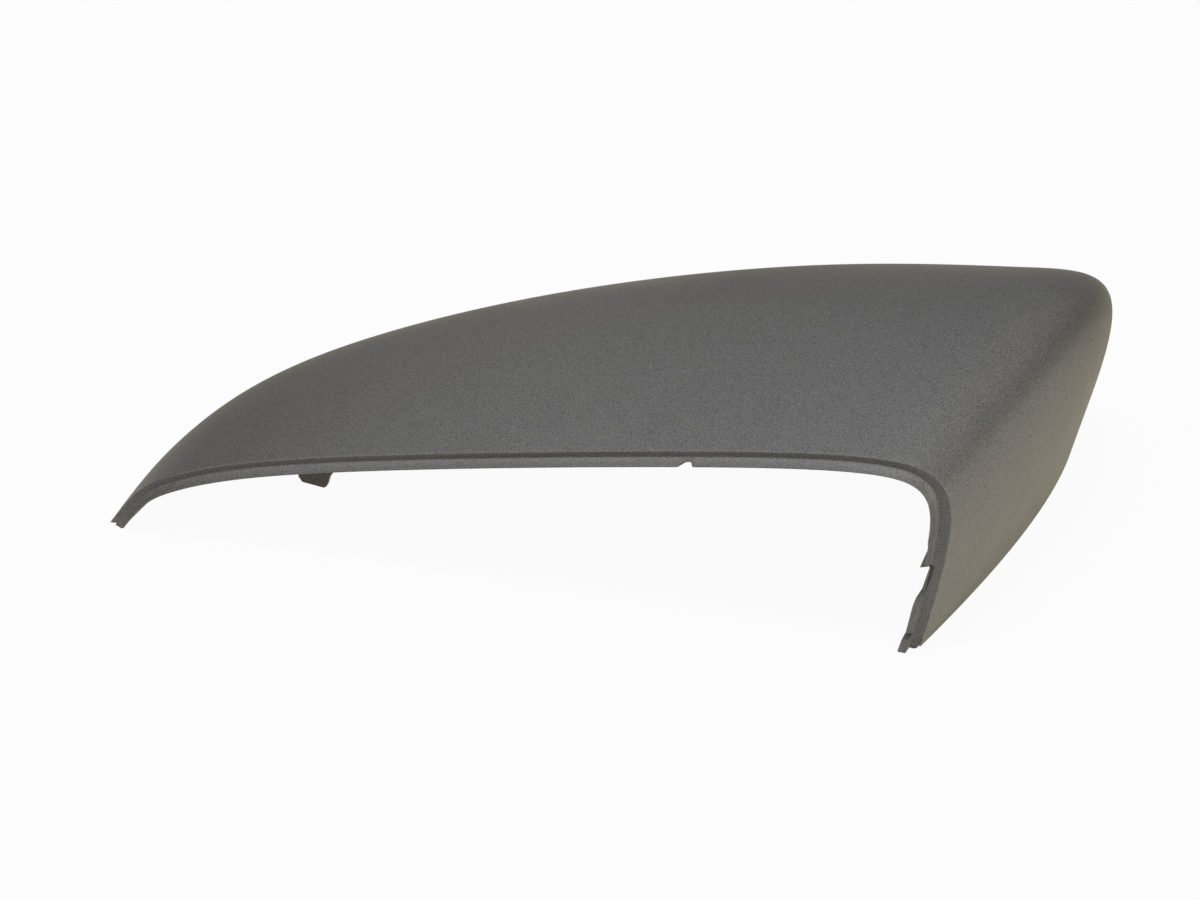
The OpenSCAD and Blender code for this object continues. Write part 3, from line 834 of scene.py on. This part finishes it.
def floor_finish():
    f = finish_for("studio_floor")
    seen, gloss, through = light_path(f)
    tone = f.mixed(f.noise(400, 2), grey(222, 222, 222), grey(229, 229, 228))
    matt = f.node("ShaderNodeBsdfDiffuse", sockets={"Color": tone})
    white = f.node("ShaderNodeEmission", sockets={"Color": (1, 1, 1, 1), "Strength": 1.0})
    warm = f.node("ShaderNodeEmission", sockets={"Color": (1, 0.93, 0.68, 1), "Strength": 1.0})
    shown = f.node("ShaderNodeMixShader", sockets={0: gloss, 1: white, 2: warm})
    share = seen * 0.95 + gloss * 0.95 + through
    above = f.node("ShaderNodeMixShader", sockets={0: share, 1: matt, 2: shown})
    from_below = f.node("ShaderNodeNewGeometry", output="Backfacing")
    clear = f.node("ShaderNodeBsdfTransparent")
    return f.surface(f.node("ShaderNodeMixShader", sockets={0: from_below, 1: above, 2: clear}))


floor = placed("studio_floor", bpy.data.meshes.new("studio_floor"))
floor_reach, floor_top = 4, -0.0001
floor_corners = [(x * floor_reach, y * floor_reach, floor_top)
                 for x, y in ((-1, -1), (1, -1), (1, 1), (-1, 1))]
floor.data.from_pydata(floor_corners, [], [(0, 1, 2, 3)])
floor.data.materials.append(floor_finish())
print("floor", 2 * floor_reach, "m wide")

# %% [markdown]
# ## Light
# Two big soft boxes, one straight above and one to the left, light the crown. The outboard side is
# turned away from them, and takes its light from a low warm lamp on the right and from the floor, and
# the ridge between them stays darkest. This is what gives the photograph its two-sided look. A low
# box in front lights the end of the flange, and a faint warm one behind draws the far edge. The
# lamps' powers were chosen to meet the photo's tones.
# The surroundings are white to the camera, but give almost no light, so the boxes do the shaping.

# %% Lamps
lit_point = Vector((0, 0, 0.03))


def soft_box(name, place, size, watts, colour):
    lamp = placed(name, bpy.data.lights.new(name, "AREA"))
    lamp.data.shape, lamp.data.size = "SQUARE", size
    lamp.data.energy, lamp.data.color = watts, colour
    lamp.location = place
    lamp.rotation_euler = (lit_point - Vector(place)).to_track_quat("-Z", "Y").to_euler()


soft_box("overhead", (0, 0, 1.4), 0.7, 7.4, (0.92, 0.97, 1))
soft_box("key_left", (-0.61, -0.35, 1.21), 0.7, 7.2, (1, 0.97, 0.96))
soft_box("low_right", (1.38, -0.15, 0.1), 0.4, 8, (1, 0.9, 0.75))
soft_box("low_front", (0.3, -1.34, 0.17), 0.4, 7, (0.97, 0.98, 1))
soft_box("far_warm", (-1.0, 1.0, 0.25), 0.5, 0.25, (1, 0.72, 0.4))
print(len(bpy.data.lights), "soft boxes")

# %% Surroundings
sky = Finish(bpy.data.worlds.new("studio"))
seen, gloss, through = light_path(sky)
faint = sky.node("ShaderNodeBackground", sockets={"Color": (1, 1, 1, 1), "Strength": 0.08})
white = sky.node("ShaderNodeBackground", sockets={"Color": (1, 1, 1, 1), "Strength": 1.0})
share = seen + gloss * 0.1 + through
shown = sky.node("ShaderNodeMixShader", sockets={0: share, 1: faint, 2: white})
bpy.context.scene.world = sky.surface(shown, "ShaderNodeOutputWorld")
bpy.context.scene.view_settings.view_transform = "Standard"
print("world", bpy.context.scene.world.name)
